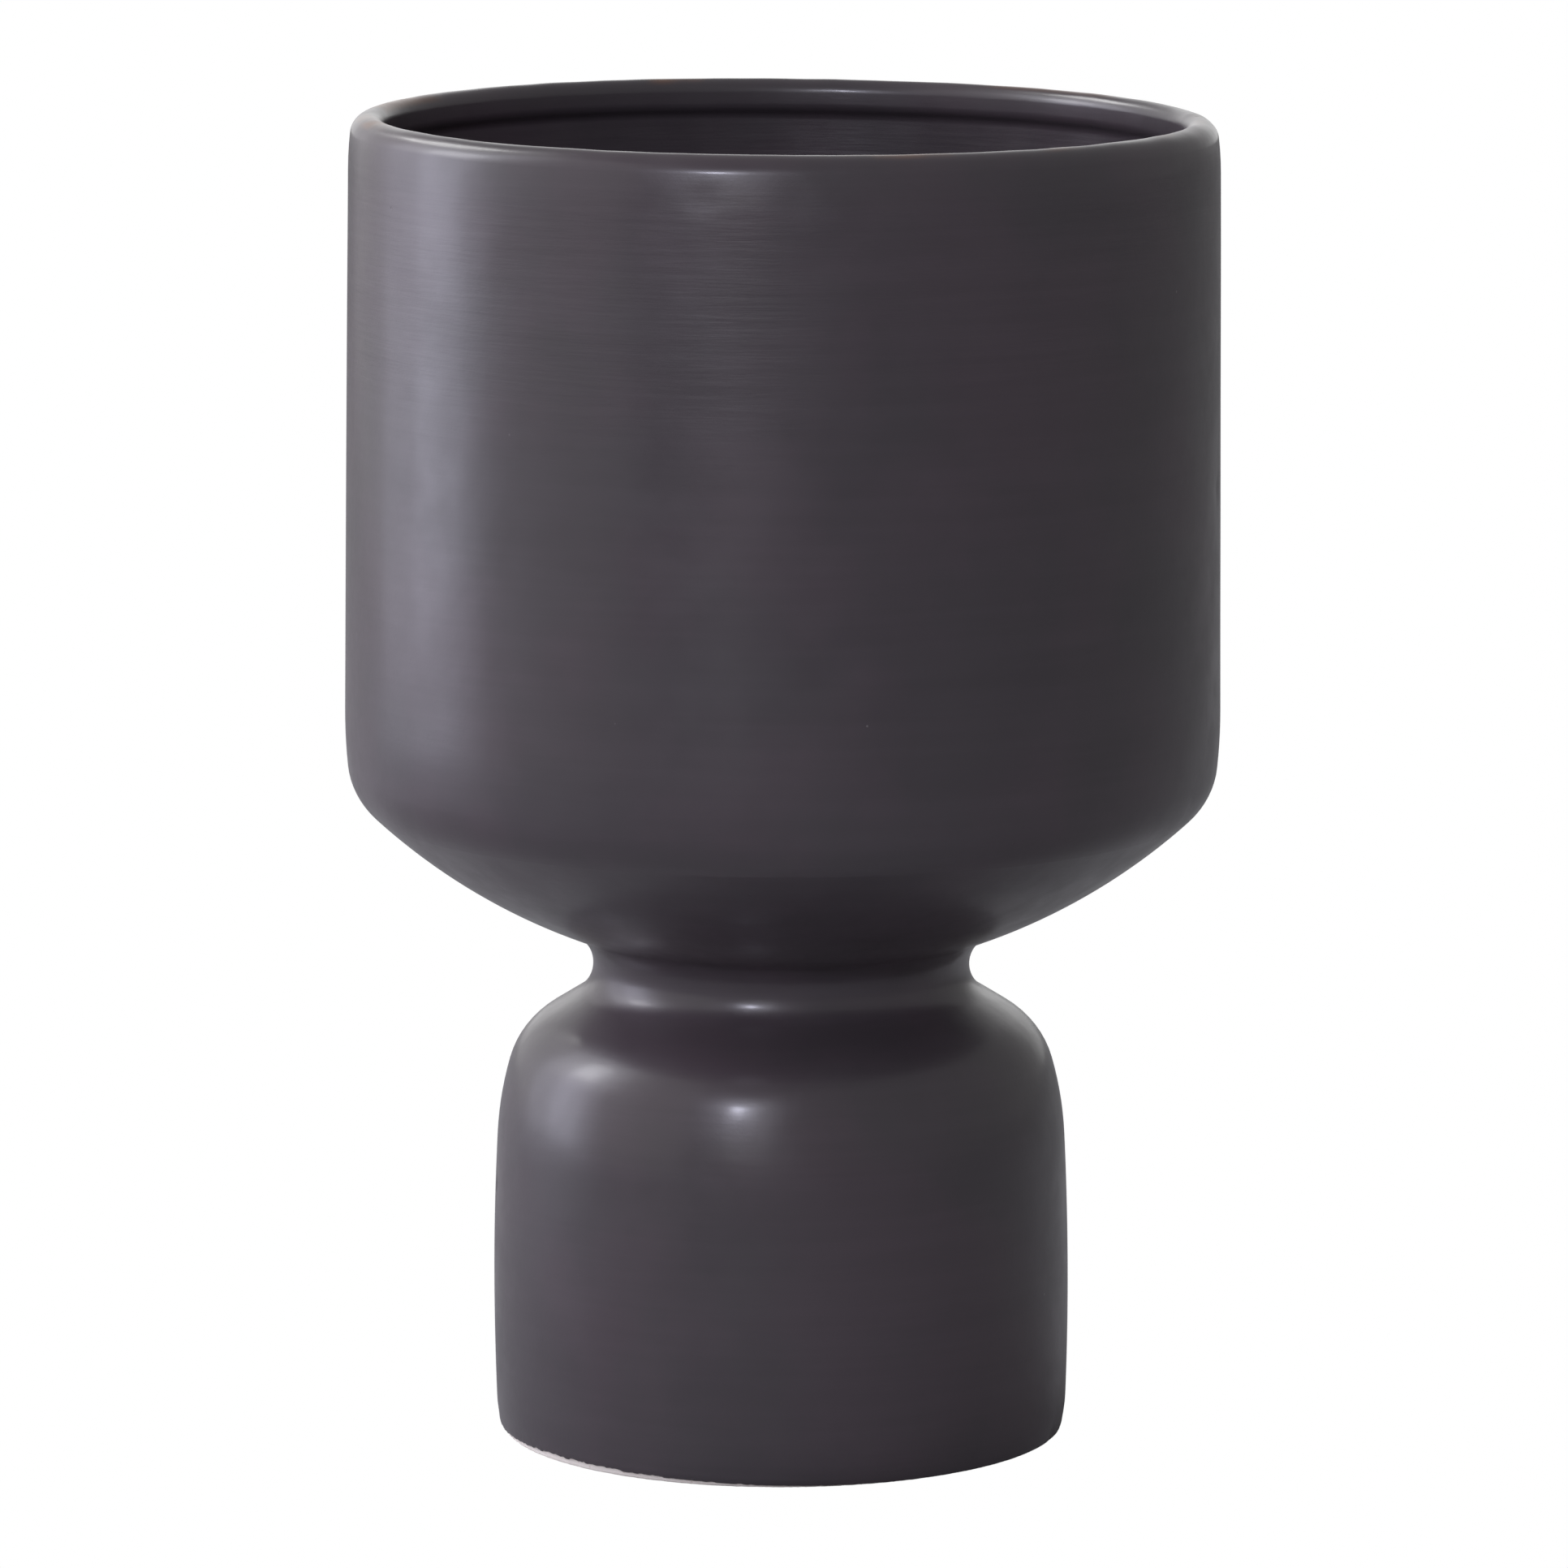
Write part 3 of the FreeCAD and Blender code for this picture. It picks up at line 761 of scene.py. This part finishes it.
def glaze_relief_group():
    """Height of the glaze skin in metres: orange peel, sponge marks, pinholes and grain."""
    inputs = {"Place": None, "Peel": 1.0, "Sponge": 1.0, "Pits": 1.0}
    group, given, result = new_group("glaze_relief", inputs, ("Height",))
    place = given.outputs["Place"]
    level = stretched(group, place, SPONGE_STRETCH)
    layers = (
        (noise_node(group, place, *PEEL_NOISE), PEEL_HEIGHT, "Peel"),
        (noise_node(group, level, *SPONGE_NOISE), SPONGE_HEIGHT, "Sponge"),
        (placed(group, "pinholes", place, **PINHOLES).outputs["Pit"], PIT_HEIGHT, "Pits"),
    )
    heights = []
    for value, rise, label in layers:
        heights.append(product(group, product(group, value, rise), given.outputs[label]))
    grain = product(group, noise_node(group, place, *GRAIN_NOISE), GRAIN_HEIGHT)
    fill(group, result, {"Height": total(group, *heights, grain)})
    return group


def placed(tree, name, place, **values):
    """A group node at a place, with its other inputs."""
    node = tree.nodes.new("ShaderNodeGroup")
    node.node_tree = GROUPS[name]
    links = {label.replace("_", " "): value for label, value in values.items()}
    return fill(tree, node, {"Place": place, **links})


GROUPS = {"clouds": clouds_group(), "pinholes": pinholes_group(), "grit": grit_group()}
GROUPS["relief"] = glaze_relief_group()

MIX_SHARE, MIX_FIRST, MIX_SECOND, MIX_RESULT = 0, 6, 7, 2


def mixed(tree, share, first, second):
    """A colour mixed between two colours or sockets."""
    links = {MIX_SHARE: share, MIX_FIRST: first, MIX_SECOND: second}
    return add(tree, "Mix", data_type="RGBA", blend_type="MIX", links=links).outputs[MIX_RESULT]


def new_material(name, roughness):
    material = bpy.data.materials.new(name)
    material.use_nodes = True
    tree = material.node_tree
    shader = tree.nodes["Principled BSDF"]
    shader.inputs["Roughness"].default_value = roughness
    place = add(tree, "TexCoord").outputs["Object"]
    return material, tree, shader, place


def relief(tree, shader, height, strength):
    bump = add(tree, "Bump", {"Height": height, "Strength": strength, "Distance": 1.0})
    tree.links.new(bump.outputs["Normal"], shader.inputs["Normal"])


PLUM = (0.064, 0.049, 0.060, 1)
CHARCOAL = (0.054, 0.045, 0.053, 1)
BROWN_BREAK = (0.16, 0.070, 0.035, 1)
# Dark colour of the sponge marks, also used as painted shade inside the pinholes.
SPONGE_MARK_AND_PIT_SHADE = (0.018, 0.015, 0.017, 1)
PALE_SPECK = (0.30, 0.27, 0.28, 1)

# How strongly each effect tints the glaze.
STREAK_TINT = 0.1
BREAK_TINT = 0.75
# Painted shade: how strongly the pinholes are darkened.
PIT_SHADE_TINT = 0.7
SPECK_TINT = 0.6

# The glaze breaks brown between these depths under the lip's crest.
BREAK_FROM = 0.9
BREAK_FULL = -0.1

# The sponge's marks are strongest on a band under the lip: heights where it fades in and out.
SPONGED_IN = (150, 172)
SPONGED_OUT = (198, 190)
SPONGED_BAND = 3.6
SPONGED_WALL = 1.0

GLOSS_PATCH = 95.0
GLOSS_SPREAD = 0.05
COAT_WEIGHT = 0.22
COAT_ROUGHNESS = 0.17
GLAZE_ROUGHNESS = 0.34
FOOT_GLAZE_ROUGHNESS = 0.46

CLAY_ROUGHNESS = 0.85
CLAY_PATCH = 160.0
FLECK_TINT = 0.35
CLAY_RELIEF = 0.8
BARE_CLAY = ((0.90, 0.86, 0.83, 1), (0.84, 0.75, 0.70, 1), (0.52, 0.38, 0.30, 1))
JOINING_CLAY = ((0.70, 0.62, 0.55, 1), (0.62, 0.52, 0.45, 1), (0.34, 0.25, 0.19, 1))


def broken_at_crest(tree, place, height, colour):
    """The colour with brown patches where the glaze runs thin over the lip's crest."""
    crest = ranged(tree, height, (HEIGHT - BREAK_FROM) * MM, (HEIGHT - BREAK_FULL) * MM)
    patches = ranged(tree, noise_node(tree, place, *BREAK_NOISE), *BREAK_RANGE)
    thin = product(tree, crest, patches)
    return mixed(tree, product(tree, thin, BREAK_TINT), colour, BROWN_BREAK)


def sponging(tree, height):
    """Strength of the sponge's marks at a height."""
    fades = [ranged(tree, height, low * MM, high * MM) for low, high in (SPONGED_IN, SPONGED_OUT)]
    band = product(tree, *fades)
    return total(tree, product(tree, band, SPONGED_BAND), SPONGED_WALL)


def satin_glaze(name, plum, charcoal, roughness, breaks):
    """Satin glaze: clouded plum and charcoal, pinholes darkened with painted shade, pale specks, and brown
    breaks at the crest.
    """
    material, tree, shader, place = new_material(name, roughness)
    height = height_in(tree, place)
    clouds = placed(tree, "clouds", place)
    pits = placed(tree, "pinholes", place, **PINHOLES)
    specks = placed(tree, "pinholes", place, **PALE_SPECKS)
    cloud = ranged(tree, clouds.outputs["Cloud"], *CLOUD_RANGE)
    streak = ranged(tree, clouds.outputs["Streak"], *STREAK_RANGE)
    body = mixed(tree, cloud, charcoal, plum)
    colour = mixed(tree, product(tree, streak, STREAK_TINT), body, SPONGE_MARK_AND_PIT_SHADE)
    if breaks:
        colour = broken_at_crest(tree, place, height, colour)
    # Painted shade: each pinhole is darkened, standing in for the shade inside the pit.
    colour = mixed(tree, product(tree, pits.outputs["Pit"], PIT_SHADE_TINT), colour, SPONGE_MARK_AND_PIT_SHADE)
    colour = mixed(tree, product(tree, specks.outputs["Pit"], SPECK_TINT), colour, PALE_SPECK)
    patches = placed(tree, "clouds", place, Cloud_Size=GLOSS_PATCH).outputs["Cloud"]
    gloss = ranged(tree, patches, *GLOSS_RANGE, roughness + GLOSS_SPREAD, roughness - GLOSS_SPREAD)
    fill(tree, shader, {"Base Color": colour, "Roughness": gloss})
    shader.inputs["Coat Weight"].default_value = COAT_WEIGHT
    shader.inputs["Coat Roughness"].default_value = COAT_ROUGHNESS
    skin = placed(tree, "relief", place, Sponge=sponging(tree, height))
    relief(tree, shader, skin.outputs["Height"], 1.0)
    return material


def clay(name, pale, warm, stain):
    """Fired clay: pale and warm patches, darker flecks and a gritty surface."""
    material, tree, shader, place = new_material(name, CLAY_ROUGHNESS)
    grit = placed(tree, "grit", place)
    clouds = placed(tree, "clouds", place, Cloud_Size=CLAY_PATCH)
    body = mixed(tree, clouds.outputs["Cloud"], pale, warm)
    flecked = mixed(tree, product(tree, grit.outputs["Fleck"], FLECK_TINT), body, stain)
    tree.links.new(flecked, shader.inputs["Base Color"])
    relief(tree, shader, grit.outputs["Height"], CLAY_RELIEF)
    return material


# ---------------------------------------------------------------- studio

WHITE = (1, 1, 1, 1)
FLOOR_GREY = (0.42, 0.42, 0.43, 1)
FLOOR_METRES = 8
FLOOR_GAP = 0.05 * MM
FOOT_GLOW_RADIUS = 40.5 * MM
ROOM_LIGHT = 0.335
BACKDROP_LIGHT = 1.0
BACKDROP_FROM = 0.8


def pale_floor():
    """A pale floor as light as the air, so that no horizon shows.

    It is clear from beneath, and it glows under the foot, a hair's breadth below the standing ring, so that
    the ring and the hollow foot are lit when looked at from beneath.
    """
    bpy.ops.mesh.primitive_plane_add(size=FLOOR_METRES, location=-FLOOR_GAP * UP)
    floor = bpy.context.object
    floor.name = "studio_floor"
    material = bpy.data.materials.new("pale_floor")
    material.use_nodes = True
    tree = material.node_tree
    tree.nodes.remove(tree.nodes["Principled BSDF"])
    seen = add(tree, "LightPath").outputs["Is Camera Ray"]
    spot = add(tree, "TexCoord").outputs["Object"]
    from_axis = add(tree, "VectorMath", {0: spot}, operation="LENGTH").outputs["Value"]
    under_foot = math_node(tree, "LESS_THAN", from_axis, FOOT_GLOW_RADIUS)
    glowing = math_node(tree, "MAXIMUM", seen, under_foot)
    matt = add(tree, "BsdfDiffuse", {"Color": FLOOR_GREY})
    lit = add(tree, "Emission", {"Color": WHITE, "Strength": 1.0})
    above = add(tree, "MixShader", {0: glowing, 1: matt.outputs[0], 2: lit.outputs[0]})
    clear = add(tree, "BsdfTransparent")
    beneath = add(tree, "NewGeometry").outputs["Backfacing"]
    either = add(tree, "MixShader", {0: beneath, 1: above.outputs[0], 2: clear.outputs[0]})
    tree.links.new(either.outputs[0], tree.nodes["Material Output"].inputs["Surface"])
    floor.data.materials.append(material)


def studio_air():
    """White air to the camera; to the vessel, a dim room with a lit backdrop behind it, on the +Y side."""
    world = bpy.data.worlds.new("studio_air")
    bpy.context.scene.world = world
    world.use_nodes = True
    air = world.node_tree
    direction = add(air, "TexCoord").outputs["Generated"]
    parts = add(air, "SeparateXYZ", {0: direction})
    behind = ranged(air, parts.outputs["Y"], BACKDROP_FROM, 1.0)
    glow = total(air, product(air, behind, BACKDROP_LIGHT), ROOM_LIGHT)
    room = fill(air, air.nodes["Background"], {"Color": WHITE, "Strength": glow})
    white = add(air, "Background", {"Color": WHITE, "Strength": 1.0})
    seen = add(air, "LightPath").outputs["Is Camera Ray"]
    mix = add(air, "MixShader", {0: seen, 1: room.outputs[0], 2: white.outputs[0]})
    air.links.new(mix.outputs[0], air.nodes["World Output"].inputs["Surface"])


# Lights, in metres. Radiance is what a mirror would show of a light.
VESSEL_MIDDLE = Vector((0, 0, 0.12))
FRONT_DISTANCE = 1.2
SIDE_PLACE = -0.7
SIDE_LAYER_GAP = 0.01
NEAREST_LAYER = -1
COOL = (0.96, 0.96, 1.16)
NEUTRAL = (1.0, 1.0, 1.0)

# Patches of the upright diffuser on the left, the nearest layer first: two depths along Y, two heights,
# radiance and tint.
SIDE_LIGHTS = (
    ("diffuser_hot_spot", (0.02, 0.2), (0.36, 0.62), 5.0, NEUTRAL),
    ("diffuser_core", (-0.01, 0.22), (0.03, 0.6), 2.0, COOL),
    ("diffuser", (-0.1, 0.5), (0.0, 0.85), 1.05, COOL),
    ("diffuser_upper", (-0.2, 0.45), (0.28, 1.0), 0.6, NEUTRAL),
    ("diffuser_wide", (-0.9, 1.4), (0.0, 1.3), 0.5, NEUTRAL),
    ("high_back", (0.45, 1.0), (0.8, 1.3), 7.0, NEUTRAL),
)

# Lamps in front: azimuth and elevation in degrees, width and height, radiance and tint.
FRONT_LIGHTS = (
    ("front_core", (-18, 20), (0.09, 0.08), 115.0, COOL),
    ("front_box", (-14, 21), (0.38, 0.38), 1.3, NEUTRAL),
    ("front_low", (-14, 5), (0.4, 0.2), 1.0, NEUTRAL),
)


def area_light(name, place, back, size, radiance, tint):
    """An area light that faces away from its back direction."""
    data = bpy.data.lights.new(name, "AREA")
    data.shape = "RECTANGLE"
    data.size, data.size_y = size
    data.energy = radiance * data.size * data.size_y * math.pi
    data.color = tint
    light = bpy.data.objects.new(name, data)
    light.location = place
    light.rotation_mode = "QUATERNION"
    light.rotation_quaternion = back.to_track_quat("Z", "Y")
    bpy.context.scene.collection.objects.link(light)


def lights():
    for layer, light in enumerate(SIDE_LIGHTS, NEAREST_LAYER):
        name, (near, far), (low, high), radiance, tint = light
        place = Vector((SIDE_PLACE - layer * SIDE_LAYER_GAP, (near + far) / 2, (low + high) / 2))
        area_light(name, place, Vector((-1, 0, 0)), (far - near, high - low), radiance, tint)
    for name, direction, size, radiance, tint in FRONT_LIGHTS:
        across, up = (math.radians(angle) for angle in direction)
        level = Vector((math.sin(across), -math.cos(across), 0))
        back = level * math.cos(up) + UP * math.sin(up)
        area_light(name, VESSEL_MIDDLE + back * FRONT_DISTANCE, back, size, radiance, tint)


# The camera looks slightly down from the front, far off, with a long lens.
CAMERA_PITCH = math.radians(9.426)
CAMERA_DISTANCE = 1401.0
CAMERA_AIM_HEIGHT = 98.69
CAMERA_SIDE = 0.21
CAMERA_LENS = 213.12
CAMERA_SENSOR = 36
CAMERA_CLIP = (0.1, 50)


def camera():
    data = bpy.data.cameras.new("camera")
    data.lens = CAMERA_LENS
    data.sensor_width = CAMERA_SENSOR
    data.clip_start, data.clip_end = CAMERA_CLIP
    view = bpy.data.objects.new("camera", data)
    back = Vector((0, -math.cos(CAMERA_PITCH), math.sin(CAMERA_PITCH)))
    view.location = (Vector((CAMERA_SIDE, 0, CAMERA_AIM_HEIGHT)) + back * CAMERA_DISTANCE) * MM
    view.rotation_mode = "QUATERNION"
    view.rotation_quaternion = back.to_track_quat("Z", "Y")
    bpy.context.scene.collection.objects.link(view)
    bpy.context.scene.camera = view


glaze = satin_glaze("satin_plum_glaze", PLUM, CHARCOAL, GLAZE_ROUGHNESS, breaks=True)
foot_glaze = satin_glaze("satin_foot_glaze", CHARCOAL, PLUM, FOOT_GLAZE_ROUGHNESS, breaks=False)
bare_clay = clay("bare_clay", *BARE_CLAY)
joining_clay = clay("joining_clay", *JOINING_CLAY)

outer_glaze(glaze)
bowl_lining_glaze(glaze)
foot_lining_glaze(foot_glaze)
bowl_casting(bare_clay)
foot_casting(bare_clay)
luting_slip(joining_clay)

pale_floor()
studio_air()
lights()
camera()
bpy.context.scene.view_settings.view_transform = "Standard"
